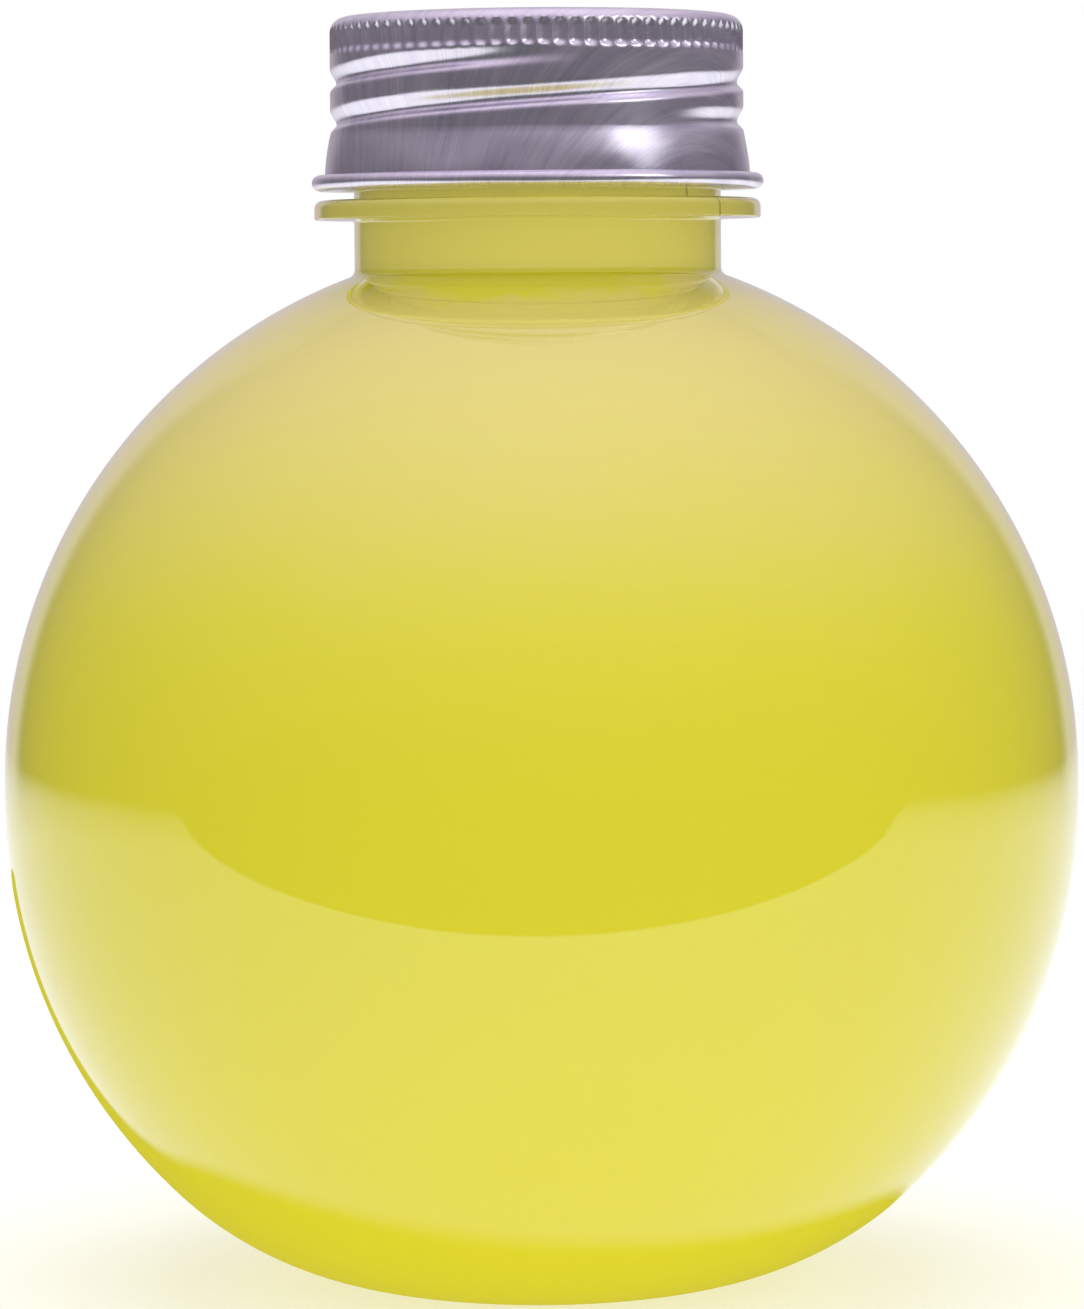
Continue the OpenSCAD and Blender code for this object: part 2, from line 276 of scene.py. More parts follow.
class BallForm:
    """The heights and radii that the bottle's sizes lead to."""

    def __init__(self, s):
        self.body_r = s.body_d / 2
        self.stand_r = s.stand_d / 2
        self.stand_in_r = self.stand_r - s.stand_w
        heel_reach = self.stand_r / math.sin(s.heel_angle)
        self.heel_r = self.body_r - heel_reach
        self.low_z = self.heel_r + heel_reach * math.cos(s.heel_angle)
        self.high_z = self.low_z + s.waist_h
        pushup_reach = (self.stand_in_r**2 + s.pushup_h**2) / (2 * s.pushup_h)
        self.pushup_r = pushup_reach - s.foot_r
        self.pushup_angle = math.asin(self.stand_in_r / pushup_reach)
        self.neck_r = s.neck_d / 2
        self.bore_r = self.neck_r - s.neck_wall
        self.ring_r = self.neck_r + s.ring_out
        self.mouth_z = BOTTLE_HIGH.z
        self.ring_top_z = self.mouth_z - s.finish_h
        self.ring_z = self.ring_top_z - s.ring_t
        self.fillet_reach = self.body_r + s.neck_fillet
        self.fillet_angle = math.acos((self.neck_r + s.neck_fillet) / self.fillet_reach)
        self.throat_reach = self.body_r - s.wall + s.throat_r
        self.throat_angle = math.acos((self.bore_r + s.throat_r) / self.throat_reach)


def ball_side(s, f, inset):
    """The wall's outline from the flat ring up to the waist, moved in from the outside."""
    lower = s.heel_angle - RIGHT
    return arc((f.stand_r, f.heel_r), f.heel_r - inset, -RIGHT, lower, BALL_STEP) + arc(
        (0, f.low_z), f.body_r - inset, lower, 0, BALL_STEP
    )


def base_hollow(s, f, inset, from_r=0.0):
    """The hollow of the base from the middle out to the flat ring, moved in from the outside."""
    radius = f.pushup_r + inset
    begin = RIGHT - math.asin(from_r / radius)
    dome = arc((0, s.pushup_h - f.pushup_r), radius, begin, RIGHT - f.pushup_angle, BALL_STEP)
    foot = arc((f.stand_in_r, s.foot_r), s.foot_r - inset, -RIGHT - f.pushup_angle, -RIGHT, ROUND_STEP / 2)
    return dome + foot


def inner_side(s, f, gap):
    """The inside of the bottle up to the throat, with a gap left off it."""
    throat = (f.bore_r + s.throat_r, f.high_z + f.throat_reach * math.sin(f.throat_angle))
    return (
        base_hollow(s, f, s.wall + gap)
        + ball_side(s, f, s.wall + gap)
        + arc((0, f.high_z), f.body_r - s.wall - gap, 0, f.throat_angle, BALL_STEP)
        + arc(throat, s.throat_r + gap, 2 * RIGHT + f.throat_angle, 2 * RIGHT, ROUND_STEP / 2)
    )


def outer_side(s, t, f):
    """The outside of the bottle from the gate mark up to the mouth's inner edge."""
    gate_r = s.gate_d / 2
    gate_z = s.pushup_h - s.gate_h
    fillet = (f.neck_r + s.neck_fillet, f.high_z + f.fillet_reach * math.sin(f.fillet_angle))
    under_ring = (f.neck_r + s.ring_fillet, f.ring_z - s.ring_fillet)
    lip_r = s.ring_fillet / 2
    ring_low = (f.ring_r - lip_r, f.ring_z + lip_r)
    ring_high = (f.ring_r - s.ring_edge, f.ring_top_z - s.ring_edge)
    finish_low = (f.neck_r, f.ring_top_z)
    finish_high = (f.neck_r, f.mouth_z - s.mouth_edge)
    return (
        [(0, gate_z), (gate_r * 0.6, gate_z)]
        + arc((gate_r - s.gate_h / 3, gate_z + s.gate_h / 3), s.gate_h / 3, -RIGHT, 0, ROUND_STEP * 2)
        + base_hollow(s, f, 0, gate_r)
        + ball_side(s, f, 0)
        + arc((0, f.high_z), f.body_r, 0, f.fillet_angle, BALL_STEP)
        + arc(fillet, s.neck_fillet, 2 * RIGHT + f.fillet_angle, 2 * RIGHT, ROUND_STEP)
        + line((f.neck_r, fillet[1]), (f.neck_r, f.ring_z - s.ring_fillet), 1 * MM)
        + arc(under_ring, s.ring_fillet, 2 * RIGHT, RIGHT, ROUND_STEP)
        + arc(ring_low, lip_r, -RIGHT, 0, ROUND_STEP)
        + arc(ring_high, s.ring_edge, 0, RIGHT, ROUND_STEP)
        + line(finish_low, finish_high, t.row_h)
        + arc((f.neck_r - s.mouth_edge, finish_high[1]), s.mouth_edge, 0, RIGHT, ROUND_STEP * 1.5)
        + arc((f.bore_r + s.mouth_edge, finish_high[1]), s.mouth_edge, RIGHT, 2 * RIGHT, ROUND_STEP * 1.5)
    )


def lathe(name, outline, columns):
    """Draws a half section point by point, and turns it about the Z axis into a closed shell."""
    bpy.ops.object.select_all(action="DESELECT")
    bpy.ops.mesh.primitive_plane_add(size=MM, location=(0, 0, 0), enter_editmode=True)
    piece = bpy.context.object
    bpy.ops.mesh.merge(type="CENTER")
    bpy.ops.transform.translate(value=(outline[0][0], 0, outline[0][1]))
    for here, there in zip(outline, outline[1:]):
        step = (there[0] - here[0], 0, there[1] - here[1])
        bpy.ops.mesh.extrude_region_move(TRANSFORM_OT_translate={"value": step})
    bpy.ops.object.mode_set(mode="OBJECT")
    turned = piece.modifiers.new("turned", "SCREW")
    turned.axis = "Z"
    turned.angle = math.tau
    turned.steps = turned.render_steps = columns
    turned.use_merge_vertices = True
    turned.merge_threshold = WELD
    bpy.ops.object.modifier_apply(modifier=turned.name)
    bpy.ops.object.mode_set(mode="EDIT")
    bpy.ops.mesh.select_all(action="SELECT")
    bpy.ops.mesh.remove_doubles(threshold=WELD)
    bpy.ops.mesh.normals_make_consistent(inside=False)
    bpy.ops.object.mode_set(mode="OBJECT")
    piece.name = piece.data.name = name
    return piece


def reshape(piece, rule):
    """Moves each point of a piece in or out: rule takes radii, angles and heights and gives the new radii."""
    mesh = piece.data
    points = np.empty(len(mesh.vertices) * 3, np.float32)
    mesh.vertices.foreach_get("co", points)
    points = points.reshape(-1, 3).astype(float)
    radius = np.hypot(points[:, 0], points[:, 1])
    angle = np.arctan2(points[:, 1], points[:, 0])
    wanted = rule(radius, angle, points[:, 2])
    factor = np.where(radius > WELD, wanted / np.maximum(radius, WELD), 1)
    points[:, 0] *= factor
    points[:, 1] *= factor
    mesh.vertices.foreach_set("co", points.astype(np.float32).ravel())
    mesh.update()


def finish_piece(piece, body, node, material):
    """Shades a piece, gives it its finish, and ties it to the frame."""
    bpy.ops.object.select_all(action="DESELECT")
    piece.select_set(True)
    bpy.context.view_layer.objects.active = piece
    bpy.ops.object.shade_smooth_by_angle(angle=SMOOTH_ANGLE)
    piece.data.materials.clear()
    piece.data.materials.append(material)
    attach(piece, body)
    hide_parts(node)


def helix_height(angle, height, lead, starts, begin, start):
    """How far along its start each point lies, in angle, and how high the thread's middle is there."""
    along = np.mod(angle - begin - math.tau * start / starts, math.tau)
    return along, height + lead * (begin + along) / math.tau


def neck_thread_rule(t, f):
    """Raises the neck's thread on the plain neck."""

    def rule(radius, angle, height):
        on_neck = (np.abs(radius - f.neck_r) < 10 * WELD) & (height > f.ring_top_z + t.row_h)
        raised = np.zeros_like(radius)
        for start in range(t.starts):
            along, middle = helix_height(angle, f.ring_top_z + t.rise, t.lead, t.starts, t.begin, start)
            grown = ease(along / t.fade) * ease((t.arc - along) / t.fade)
            off = np.abs(height - middle)
            flank = ease((t.root_w / 2 - off) / (t.root_w - t.crest_w) * 2)
            raised = np.maximum(raised, t.height * grown * flank)
        return np.where(on_neck, radius + raised, radius)

    return rule


def cap_outline(t, c, f):
    """The cap's half section: down the outside, round the bead and back up the inside."""
    inner_r = f.neck_r + t.height + t.gap
    outer_r = inner_r + c.sheet_t
    top_z, base_z = CAP_HIGH.z, CAP_LOW.z
    corner_z = top_z - c.edge
    skirt_r = outer_r + c.skirt_out
    bead_r = c.bead_d / 2
    bead = (skirt_r - c.sheet_t + bead_r, base_z + bead_r)

    def wall(inset, row_h):
        """The straight wall from the corner down to the skirt, and the skirt down to the bead."""
        low = (outer_r - inset, base_z + c.skirt_h)
        steps = 8
        drop = c.skirt_h - bead_r
        skirt = []
        for i in range(steps + 1):
            skirt.append((low[0] + c.skirt_out * math.sin(RIGHT * i / steps), low[1] - drop * i / steps))
        return line((outer_r - inset, corner_z), low, row_h) + skirt

    def top(inset):
        """The top from the middle out, and its rounded edge."""
        flat = [(radius * MM, top_z - inset) for radius in (0, 1.5, 9, 16)]
        return flat + arc((outer_r - c.edge, corner_z), c.edge - inset, RIGHT, 0, ROUND_STEP)

    bead_turn = 4 * RIGHT + c.bead_end
    curl_out = arc(bead, bead_r - c.sheet_t, 2 * RIGHT, bead_turn, ROUND_STEP * 2)
    curl_in = arc(bead, bead_r, bead_turn, 2 * RIGHT, ROUND_STEP * 1.6)
    outside = top(0) + wall(0, c.row_h)
    inside = top(c.sheet_t) + wall(c.sheet_t, 2.5 * c.row_h)
    return clean(outside + curl_out + curl_in + inside[::-1])


def cap_rule(t, c, f):
    """Rolls the grooves and the knurls into the cap's wall, and lets its skirt ripple."""
    outer_r = f.neck_r + t.height + t.gap + c.sheet_t
    knurl_mid = CAP_HIGH.z - c.knurl_drop - c.knurl_h / 2
    straight = c.knurl_h / 2 - c.knurl_end
    first_z = f.ring_top_z + c.groove_rise

    def rule(radius, angle, height):
        depth = np.zeros_like(radius)
        for start in range(t.starts):
            along, middle = helix_height(angle, first_z, c.groove_lead, t.starts, c.groove_begin, start)
            if start == 0:
                middle = middle + c.run_in * (1 - ease(along / c.run_in_arc))
            grown = ease(along / c.fade_in) * ease((c.groove_arc - along) / c.fade_out)
            above = height - middle
            flank = ease(1 - np.where(above > 0, above / c.flank_up, -above / c.flank_down))
            depth = np.maximum(depth, c.groove_depth * grown * flank)
        across = 2 * (np.mod(angle * c.knurls / math.tau, 1) - 0.5) / c.knurl_share
        past = np.clip((np.abs(height - knurl_mid) - straight) / c.knurl_end, 0, None)
        # A knurl's bottom is a little flat, across and along
        hollow = ease(1.3 * (1 - np.abs(across))) * ease(1.2 * (1 - past))
        depth = np.maximum(depth, c.knurl_depth * hollow)
        # The grooves and knurls die out over the top's edge, and leave its flat part alone
        edge_from, edge_w = outer_r - 2.2 * MM, 1.5 * MM
        near_wall = ease((radius - edge_from) / edge_w)
        lowness = ease((CAP_LOW.z + c.skirt_h - height) / c.skirt_h)
        ripple = c.ripple * lowness * (np.sin(5 * angle + 0.6) + 0.6 * np.sin(13 * angle + 2.0))
        return radius - depth * near_wall + ripple * near_wall

    return rule


class NodeBench:
    """Adds shader nodes to a tree and joins them. Noise scales are in waves to the metre."""

    def __init__(self, tree):
        self.tree = tree
        tree.nodes.clear()

    def add(self, kind, inputs=None, **settings):
        """A new node with its settings, its inputs set to numbers or joined to outputs."""
        node = self.tree.nodes.new(kind)
        for name, value in settings.items():
            setattr(node, name, value)
        for name, value in (inputs or {}).items():
            if isinstance(value, bpy.types.NodeSocket):
                self.tree.links.new(value, node.inputs[name])
            else:
                node.inputs[name].default_value = value
        return node

    def maths(self, operation, *values):
        """The output of a Math node."""
        return self.add("ShaderNodeMath", dict(enumerate(values)), operation=operation).outputs[0]

    def soft_step(self, value, low, high):
        """0 below low, 1 above high, and smooth between them."""
        inputs = {"Value": value, "From Min": low, "From Max": high}
        return self.add("ShaderNodeMapRange", inputs, interpolation_type="SMOOTHSTEP").outputs[0]

    def spread(self, value, low, high):
        """A value from 0 to 1 spread over another range."""
        return self.add("ShaderNodeMapRange", {"Value": value, "To Min": low, "To Max": high}).outputs[0]

    def mix(self, factor, first, second):
        """A mix of two colours."""
        inputs = {0: factor, 6: first, 7: second}
        return self.add("ShaderNodeMix", inputs, data_type="RGBA").outputs[2]

    def noise(self, vector, scale, detail=2.0, roughness=0.5, distortion=0.0):
        """A noise pattern."""
        inputs = {"Vector": vector, "Scale": scale, "Detail": detail}
        inputs.update({"Roughness": roughness, "Distortion": distortion})
        return self.add("ShaderNodeTexNoise", inputs).outputs[0]

    def place(self):
        """The point on the piece, in metres."""
        return self.add("ShaderNodeTexCoord").outputs["Object"]

    def stretch(self, vector, x, y, z):
        """A point with each of its coordinates stretched."""
        inputs = {0: vector, 1: (x, y, z)}
        return self.add("ShaderNodeVectorMath", inputs, operation="MULTIPLY").outputs[0]

    def bump(self, height, distance, below=None):
        """A bump, on top of another if one is given."""
        inputs = {"Strength": 1.0, "Distance": distance, "Height": height}
        if below is not None:
            inputs["Normal"] = below
        return self.add("ShaderNodeBump", inputs).outputs[0]

    def surface(self, shader):
        """Joins a shader to the material's surface."""
        output = self.add("ShaderNodeOutputMaterial")
        self.tree.links.new(shader.outputs[0], output.inputs["Surface"])


def new_material(name):
    """An empty material and its bench."""
    material = bpy.data.materials.new(name)
    material.use_nodes = True
    return material, NodeBench(material.node_tree)


def opaque(colour):
    """A colour with full alpha."""
    return (*colour, 1.0)


def clear_plastic(colours, seam_from, seam_angle=math.radians(-37), seam_edge=0.16 * MM, seam_core=0.05 * MM):
    """Blown polyester: clear and glossy, with faint waves, handling marks and the mould's parting line."""
    material, bench = new_material("clear_plastic")
    place = bench.place()
    waves = bench.noise(place, 38.0, 2.0, 0.45)
    marks = bench.noise(bench.stretch(place, 1.0, 1.0, 0.35), 900.0, 3.0, 0.6)
    across = bench.add(
        "ShaderNodeVectorMath",
        {0: place, 1: (-math.sin(seam_angle), math.cos(seam_angle), 0)},
        operation="DOT_PRODUCT",
    ).outputs["Value"]
    height = bench.add("ShaderNodeSeparateXYZ", {0: place}).outputs["Z"]
    on_neck = bench.soft_step(height, seam_from - 0.1 * MM, seam_from)
    seam = bench.soft_step(bench.maths("ABSOLUTE", across), seam_edge, seam_core)
    seam = bench.maths("MULTIPLY", seam, on_neck)
    wavy = bench.bump(waves, 0.25 * MM)
    marked = bench.bump(marks, 0.0012 * MM, wavy)
    lined = bench.bump(seam, 0.05 * MM, marked)
    roughness = bench.spread(bench.soft_step(marks, 0.55, 0.8), 0.02, 0.06)
    shader = bench.add(
        "ShaderNodeBsdfPrincipled",
        {
            "Base Color": bench.mix(seam, opaque(colours.plastic), opaque(colours.seam)),
            "Roughness": roughness,
            "IOR": 1.57,
            "Transmission Weight": 1.0,
            "Coat Weight": 0.6,
            "Coat IOR": 1.5,
            "Coat Roughness": 0.02,
            "Normal": lined,
        },
    )
    path = bench.add("ShaderNodeLightPath")
    let_in = bench.add("ShaderNodeBsdfTransparent", {"Color": (0.96, 0.96, 0.96, 1)})
    for ray in ("Is Diffuse Ray", "Is Shadow Ray"):
        inputs = {0: path.outputs[ray], 1: shader.outputs[0], 2: let_in.outputs[0]}
        shader = bench.add("ShaderNodeMixShader", inputs)
    bench.surface(shader)
    return material


def yellow_liquid(colours, neck_at, sheen_from=60 * MM, sheen_to=90 * MM, collar_at=96.3 * MM):
    """Milky yellow liquid, painted paler below the top of the ball as a painted reflection of the overhead
    light, and painted lighter in the neck against the shade under the cap.
    """
    material, bench = new_material("yellow_liquid")
    place = bench.place()
    sheen_edge_noise = bench.noise(bench.stretch(place, 1.0, 1.0, 1.4), 34.0, 4.0, 0.6, 0.5)
    grains = bench.noise(place, 260.0, 2.0, 0.5)
    mottle = bench.maths("MULTIPLY_ADD", grains, 0.3, sheen_edge_noise)
    height = bench.add("ShaderNodeSeparateXYZ", {0: place}).outputs["Z"]
    # Painted reflection: from 60 mm up to just under the collar the ball is painted paler, with a ragged
    # edge, for the overhead light's reflection
    ragged = bench.maths("MULTIPLY_ADD", bench.maths("SUBTRACT", mottle, 0.65), 12 * MM, height)
    below_collar = bench.soft_step(ragged, collar_at, collar_at - 2.5 * MM)
    painted_sheen_mask = bench.maths("MULTIPLY", bench.soft_step(ragged, sheen_from, sheen_to), below_collar)
    # Painted light: the liquid in the neck is painted lighter, against the shade under the cap
    neck_lift_mask = bench.soft_step(height, neck_at - 0.3 * MM, neck_at)
    ball = bench.mix(painted_sheen_mask, opaque(colours.liquid), opaque(colours.painted_sheen))
    shader = bench.add(
        "ShaderNodeBsdfPrincipled",
        {
            "Base Color": bench.mix(neck_lift_mask, ball, opaque(colours.neck)),
            "Roughness": 0.35,
            "IOR": 1.34,
            "Specular IOR Level": 0.0,
        },
    )
    bench.surface(shader)
    return material


def bare_aluminium(colours, grain_angle=math.radians(-130)):
    """Pressed sheet, whose grain runs straight across the top and is drawn down the wall with the metal."""
    material, bench = new_material("bare_aluminium")
    place = bench.place()
    parts = bench.add("ShaderNodeSeparateXYZ", {0: place})
    x, y, z = parts.outputs
    squares = bench.maths("ADD", bench.maths("MULTIPLY", x, x), bench.maths("MULTIPLY", y, y))
    radius = bench.maths("SQRT", squares)
    way_out = bench.maths("ADD", radius, bench.maths("SUBTRACT", CAP_HIGH.z, z))
    drawn = bench.maths("DIVIDE", way_out, bench.maths("MAXIMUM", radius, 0.1 * MM))
    blank = bench.add("ShaderNodeVectorMath", {0: place, 3: drawn}, operation="SCALE").outputs[0]
    turned = bench.add(
        "ShaderNodeMapping", {"Vector": blank, "Rotation": (0, 0, -grain_angle)}, vector_type="POINT"
    ).outputs[0]
    grain = bench.noise(bench.stretch(turned, 0.035, 1.0, 0.0), 5200.0, 3.0, 0.65)
    streaks = bench.noise(bench.stretch(turned, 0.06, 1.0, 0.0), 900.0, 2.0, 0.55)
    patches = bench.noise(place, 160.0, 2.0, 0.5)
    threads = bench.noise(bench.stretch(turned, 1.0, 0.05, 0.0), 700.0, 1.0, 0.4, 0.6)
    scratches = bench.soft_step(threads, 0.70, 0.76)
    dents = bench.noise(bench.stretch(place, 1.0, 1.0, 1.6), 95.0, 1.0, 0.4)
    worn = bench.bump(grain, 0.006 * MM, bench.bump(dents, 0.6 * MM))
    marked = bench.bump(scratches, 0.0015 * MM, worn)
    roughness = bench.maths("MULTIPLY_ADD", streaks, 0.16, bench.spread(patches, 0.17, 0.27))
    blend = bench.maths("MULTIPLY_ADD", grain, 0.6, bench.maths("MULTIPLY", streaks, 0.4))
    tone = bench.soft_step(blend, 0.3, 0.7)
    shader = bench.add(
        "ShaderNodeBsdfPrincipled",
        {
            "Base Color": bench.mix(tone, opaque(colours.grain), opaque(colours.metal)),
            "Metallic": 1.0,
            "Roughness": roughness,
            "Anisotropic": 0.45,
            "Normal": marked,
            "Tangent": bench.add("ShaderNodeTangent", direction_type="RADIAL", axis="Z").outputs[0],
        },
    )
    bench.surface(shader)
    return material


def white_foam(colours):
    """Foamed plastic sheet: dull white with fine closed cells."""
    material, bench = new_material("white_foam")
    place = bench.place()
    cells = bench.add("ShaderNodeTexVoronoi", {"Vector": place, "Scale": 3200.0}).outputs["Distance"]
    shade = bench.soft_step(cells, 0.0, 0.7)
    darker = tuple(0.86 * part for part in colours.foam)
    shader = bench.add(
        "ShaderNodeBsdfPrincipled",
        {
            "Base Color": bench.mix(shade, opaque(colours.foam), opaque(darker)),
            "Roughness": 0.75,
            "Normal": bench.bump(cells, 0.05 * MM),
        },
    )
    bench.surface(shader)
    return material


def contact_shadow(bench, place, width=45 * MM, begin=12 * MM, length=300 * MM, angle=math.radians(110)):
    """Where reflections show the floor shaded: under the bottle, and behind it to the left."""
    way = (math.cos(angle), math.sin(angle), 0)
    along = bench.add("ShaderNodeVectorMath", {0: place, 1: way}, operation="DOT_PRODUCT").outputs["Value"]
    along = bench.maths("MINIMUM", bench.maths("MAXIMUM", along, begin), length)
    middle = bench.add("ShaderNodeVectorMath", {0: way, 3: along}, operation="SCALE").outputs[0]
    off = bench.add("ShaderNodeVectorMath", {0: place, 1: middle}, operation="DISTANCE").outputs["Value"]
    return bench.soft_step(off, width * 1.05, width * 0.95)


def studio_floor(
    colours, lift=0.46, glow=0.2, glow_from=100 * MM, glow_to=20 * MM, fade_from=350 * MM, fade_to=950 * MM
):
    """A matt pale floor that runs out into the white of the background, and lights the bottle from below."""
    material, bench = new_material("studio_floor")
    place = bench.place()
    reach = bench.add("ShaderNodeVectorMath", {0: place}, operation="LENGTH").outputs["Value"]
    gone = bench.soft_step(reach, fade_from, fade_to)
    path = bench.add("ShaderNodeLightPath")
    # Painted light: near the bottle the floor glows for rays bounced off dull surfaces, lifting the shade
    # under the bottle
    near_bottle = bench.soft_step(reach, glow_from, glow_to)
    under = bench.maths("MULTIPLY", path.outputs["Is Diffuse Ray"], near_bottle)
    strength = bench.maths("MULTIPLY_ADD", under, glow, lift)
    pale = bench.add("ShaderNodeBsdfDiffuse", {"Color": opaque(colours.floor)})
    white = bench.add("ShaderNodeEmission", {"Color": (1, 1, 1, 1), "Strength": strength})
    lifted = bench.add("ShaderNodeAddShader", {0: pale.outputs[0], 1: white.outputs[0]})
    dark = bench.add("ShaderNodeEmission", {"Color": opaque(colours.under)})
    shaded = bench.maths("MULTIPLY", path.outputs["Is Glossy Ray"], contact_shadow(bench, place))
    near = bench.add("ShaderNodeMixShader", {0: shaded, 1: lifted.outputs[0], 2: dark.outputs[0]})
    nothing = bench.add("ShaderNodeBsdfTransparent")
    bench.surface(bench.add("ShaderNodeMixShader", {0: gone, 1: near.outputs[0], 2: nothing.outputs[0]}))
    return material


def room_card(level):
    """A plain dim card that stands for the room beyond the table in reflections."""
    material, bench = new_material("room_card")
    bench.surface(bench.add("ShaderNodeEmission", {"Color": (1, 1, 1, 1), "Strength": level}))
    return material


class BOTTLE_OT_blow_shell(bpy.types.Operator):
    """Build the clear blown shell with its base, ball, neck, support ring and thread"""

    bl_idname = "bottle.blow_shell"
    bl_label = "Blown shell"

    def execute(self, context):
        scene = context.scene
        s, t = scene.bottle_sizes, scene.bottle_thread
        f = BallForm(s)
        outline = clean(outer_side(s, t, f) + inner_side(s, f, 0)[::-1])
        shell = lathe("bottle_shell", outline, s.columns)
        reshape(shell, neck_thread_rule(t, f))
        plastic = clear_plastic(scene.bottle_colours, f.ring_z)
        finish_piece(shell, "bottle", "bottle", plastic)
        return {"FINISHED"}


class BOTTLE_OT_fill_contents(bpy.types.Operator):
    """Build the yellow liquid that fills the ball and stands in the neck"""

    bl_idname = "bottle.fill_contents"
    bl_label = "Contents"

    def execute(self, context):
        scene = context.scene
        s, fill = scene.bottle_sizes, scene.bottle_fill
        f = BallForm(s)
        level = LIQUID_HIGH.z
        edge_r = f.bore_r + fill.overlap
        parts = 8
        climb = [
            (edge_r - fill.meniscus_w * i / parts, level - fill.meniscus * (1 - (1 - i / parts) ** 3))
            for i in range(parts + 1)
        ]
        outline = clean(inner_side(s, f, -fill.overlap) + climb + [(0, level - fill.meniscus)])
        liquid = lathe("contents", outline, fill.columns)
        neck_z = f.high_z + f.fillet_reach * math.sin(f.fillet_angle)
        finish_piece(liquid, "bottle", "liquid", yellow_liquid(scene.bottle_colours, neck_z))
        return {"FINISHED"}


class BOTTLE_OT_press_cap(bpy.types.Operator):
    """Build the pressed aluminium cap with its knurls, rolled grooves, skirt and bead"""

    bl_idname = "bottle.press_cap"
    bl_label = "Aluminium cap"

    def execute(self, context):
        scene = context.scene
        s, t, c = scene.bottle_sizes, scene.bottle_thread, scene.bottle_cap
        f = BallForm(s)
        columns_per_knurl = 7
        cap = lathe("cap_shell", cap_outline(t, c, f), columns_per_knurl * c.knurls)
        reshape(cap, cap_rule(t, c, f))
        finish_piece(cap, "cap", "cap", bare_aluminium(scene.bottle_colours))
        bpy.data.collections["cap_lamp_lights"].objects.link(cap)
        return {"FINISHED"}


class BOTTLE_OT_punch_disc(bpy.types.Operator):
    """Build the foam sealing disc that lies on the mouth inside the cap"""

    bl_idname = "bottle.punch_disc"
    bl_label = "Sealing disc"

    def execute(self, context):
        scene = context.scene
        s, fill = scene.bottle_sizes, scene.bottle_fill
        f = BallForm(s)
        low, high, radius = LINER_LOW.z, LINER_HIGH.z, LINER_HIGH.x
        edge, dent = fill.disc_edge, fill.disc_dent
        outline = [
            (0, low),
            (f.bore_r - 3 * edge, low),
            (f.bore_r - edge, low),
            (f.bore_r + edge, low + dent),
            (f.neck_r - edge, low + dent),
            (f.neck_r, low + dent / 2),
        ]
        rim = arc((radius - edge, low + edge), edge, -RIGHT / 2, 0, ROUND_STEP * 2)
        rim += arc((radius - edge, high - edge), edge, 0, RIGHT, ROUND_STEP * 2)
        outline += rim + [(f.bore_r, high), (0, high)]
        disc = lathe("sealing_disc", clean(outline), fill.columns)
        finish_piece(disc, "liner", "liner", white_foam(scene.bottle_colours))
        return {"FINISHED"}


class BOTTLE_OT_set_stage(bpy.types.Operator):
    """Set up the floor, the surroundings, the lamps and the camera"""

    bl_idname = "bottle.set_stage"
    bl_label = "Studio"

    def execute(self, context):
        scene = context.scene
        settings = scene.bottle_studio
        lay_floor(scene.bottle_colours)
        lay_room_card(settings)
        light_world(scene, settings)
        hang_lamps(settings)
        set_camera(scene, settings)
        scene.view_settings.view_transform = "Standard"
        return {"FINISHED"}


def lay_floor(colours, radius=1.2):
    """A wide round floor under the bottle."""
    bpy.ops.object.select_all(action="DESELECT")
    bpy.ops.mesh.primitive_circle_add(vertices=96, radius=radius, fill_type="NGON", location=(0, 0, 0))
    floor = bpy.context.object
    floor.name = "floor"
    floor.data.materials.append(studio_floor(colours))


def lay_room_card(settings, width=3.0, depth=1.5, lift=0.2 * MM):
    """A dim card in front of the white table, which only reflections see."""
    bpy.ops.object.select_all(action="DESELECT")
    bpy.ops.mesh.primitive_plane_add(size=1, location=(0, 0, 0), enter_editmode=True)
    bpy.ops.transform.resize(value=(width, depth, 1))
    bpy.ops.transform.translate(value=(0, -settings.table_front - depth / 2, lift))
    bpy.ops.object.mode_set(mode="OBJECT")
    card = bpy.context.object
    card.name = "room_card"
    card.data.materials.append(room_card(settings.room))
    card.visible_camera = False
    card.visible_diffuse = False
    card.visible_transmission = False
    card.visible_shadow = False


def light_world(
    scene, settings, edge=math.radians(3), dark_rise=math.radians(-8), bright_rise=math.radians(88)
):
    """White for the camera and through the plastic, even light for dull surfaces, a room for reflections."""
    world = bpy.data.worlds.new("studio")
    scene.world = world
    world.use_nodes = True
    bench = NodeBench(world.node_tree)
    path = bench.add("ShaderNodeLightPath")
    parts = bench.add("ShaderNodeSeparateXYZ", {0: bench.add("ShaderNodeTexCoord").outputs["Generated"]})
    x, y, z = parts.outputs
    rise = bench.maths("ARCSINE", z)
    aside = bench.maths("ABSOLUTE", bench.maths("ARCTAN2", x, y))
    glow = bench.soft_step(rise, dark_rise, bright_rise)
    level = bench.spread(glow, settings.room, settings.room_top)
    low = bench.soft_step(rise, settings.sheet_rise + edge, settings.sheet_rise)
    behind = bench.soft_step(aside, settings.sheet_turn + 3 * edge, settings.sheet_turn)
    backdrop = bench.maths("MULTIPLY", low, behind)
    tinted = bench.mix(level, (0, 0, 0, 1), opaque(settings.room_tint))
    room = bench.mix(backdrop, tinted, opaque(settings.sheet_tint))
    glossy = bench.mix(path.outputs["Is Glossy Ray"], (settings.ambient,) * 3 + (1,), room)
    seen = bench.maths("MAXIMUM", path.outputs["Is Camera Ray"], path.outputs["Is Transmission Ray"])
    colour = bench.mix(seen, glossy, (1, 1, 1, 1))
    background = bench.add("ShaderNodeBackground", {"Color": colour, "Strength": 1.0})
    output = bench.add("ShaderNodeOutputWorld")
    world.node_tree.links.new(background.outputs[0], output.inputs["Surface"])


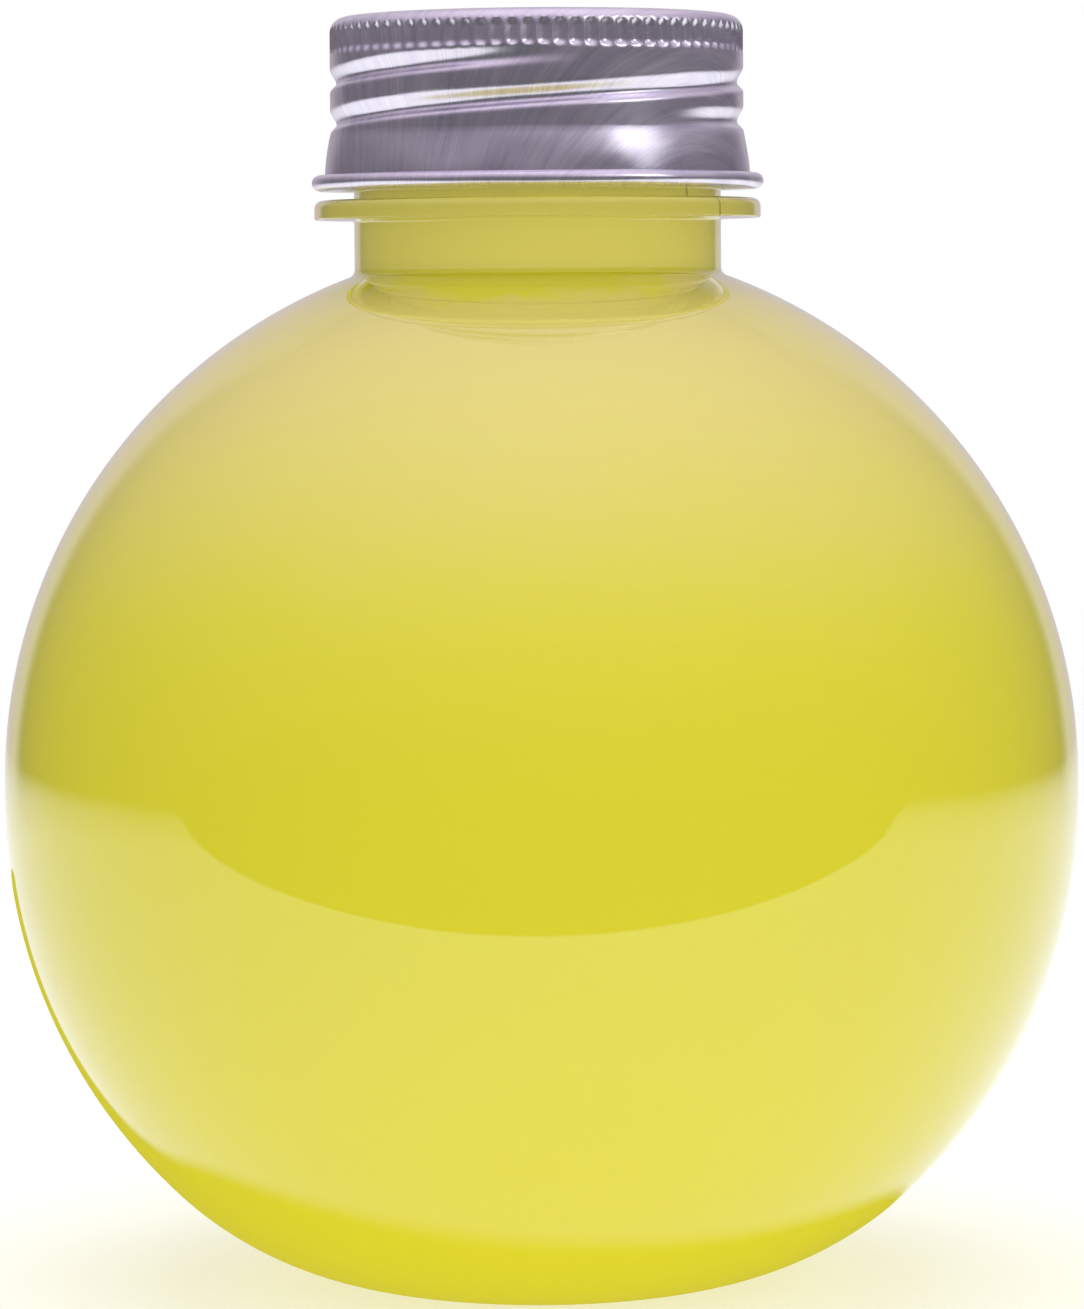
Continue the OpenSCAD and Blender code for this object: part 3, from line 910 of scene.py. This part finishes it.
def hang_lamp(name, width, brightness, place):
    """A square soft lamp that faces the middle of the bottle. Its brightness is 1 where it looks white."""
    lamp = bpy.data.lights.new(name, "AREA")
    lamp.shape = "SQUARE"
    lamp.size = width
    lamp.energy = brightness * math.pi * width**2
    holder = bpy.data.objects.new(name, lamp)
    bpy.context.scene.collection.objects.link(holder)
    aim = Vector((0, 0, (BOTTLE_LOW.z + BOTTLE_HIGH.z) / 2)) - place
    holder.matrix_world = Matrix.Translation(place) @ aim.to_track_quat("-Z", "Y").to_matrix().to_4x4()
    holder.visible_camera = False
    holder.visible_transmission = False
    return holder


def lamp_place(distance, turned, rise):
    """A lamp's place, from its distance and its angles to the right of the camera and above the floor."""
    flat = distance * math.cos(rise)
    return Vector((flat * math.sin(turned), -flat * math.cos(turned), distance * math.sin(rise)))


def hang_lamps(settings):
    """A wide soft lamp overhead, another in front, and a small one that only the cap sees."""
    place = Vector((0, 0, settings.overhead_z))
    overhead = hang_lamp("overhead_lamp", settings.overhead_w, settings.overhead, place)
    overhead.visible_glossy = False
    place = lamp_place(settings.front_r, settings.front_turn, settings.front_rise)
    front = hang_lamp("front_lamp", settings.front_w, settings.front, place)
    front.visible_glossy = False
    place = lamp_place(settings.streak_r, settings.streak_turn, settings.streak_rise)
    streak = hang_lamp("cap_lamp", settings.streak_w, settings.streak, place)
    lit = bpy.data.collections.new("cap_lamp_lights")
    streak.light_linking.receiver_collection = lit


def set_camera(scene, settings):
    """The camera at the photograph's place and angle."""
    data = bpy.data.cameras.new("camera")
    data.sensor_fit = "HORIZONTAL"
    data.sensor_width = 36
    data.lens = settings.lens
    data.clip_start = 0.01
    data.clip_end = 20
    camera = bpy.data.objects.new("camera", data)
    scene.collection.objects.link(camera)
    place = Matrix.Translation((settings.aside, -settings.distance, settings.height))
    tilt = Matrix.Rotation(RIGHT - settings.pitch, 4, "X")
    camera.matrix_world = place @ tilt @ Matrix.Rotation(settings.roll, 4, "Z")
    scene.camera = camera


class BOTTLE_PT_panel(bpy.types.Panel):
    """Lists the pieces in the order that they are built in"""

    bl_idname = "BOTTLE_PT_panel"
    bl_label = "Ball bottle"
    bl_space_type = "VIEW_3D"
    bl_region_type = "UI"
    bl_category = "Bottle"

    def draw(self, context):
        for operator in OPERATORS:
            self.layout.operator(operator.bl_idname)
        for name in GROUPS:
            box = self.layout.box()
            box.label(text=GROUPS[name].__doc__)
            group = getattr(context.scene, name)
            for key in GROUPS[name].__annotations__:
                box.prop(group, key)


GROUPS = {
    "bottle_sizes": BottleSizes,
    "bottle_thread": ThreadSizes,
    "bottle_cap": CapSizes,
    "bottle_fill": FillSizes,
    "bottle_colours": Colours,
    "bottle_studio": StudioSettings,
}
OPERATORS = (
    BOTTLE_OT_set_stage,
    BOTTLE_OT_blow_shell,
    BOTTLE_OT_fill_contents,
    BOTTLE_OT_press_cap,
    BOTTLE_OT_punch_disc,
)


def register():
    """Registers the settings, the operators and the panel."""
    for name, group in GROUPS.items():
        bpy.utils.register_class(group)
        setattr(bpy.types.Scene, name, PointerProperty(type=group))
    for operator in OPERATORS:
        bpy.utils.register_class(operator)
    bpy.utils.register_class(BOTTLE_PT_panel)


def unregister():
    """Takes them away again, in the other order."""
    bpy.utils.unregister_class(BOTTLE_PT_panel)
    for operator in reversed(OPERATORS):
        bpy.utils.unregister_class(operator)
    for name, group in reversed(GROUPS.items()):
        delattr(bpy.types.Scene, name)
        bpy.utils.unregister_class(group)


def main():
    """Builds the whole scene."""
    register()
    bpy.ops.bottle.set_stage()
    bpy.ops.bottle.blow_shell()
    bpy.ops.bottle.fill_contents()
    bpy.ops.bottle.press_cap()
    bpy.ops.bottle.punch_disc()


if __name__ == "__main__":
    main()
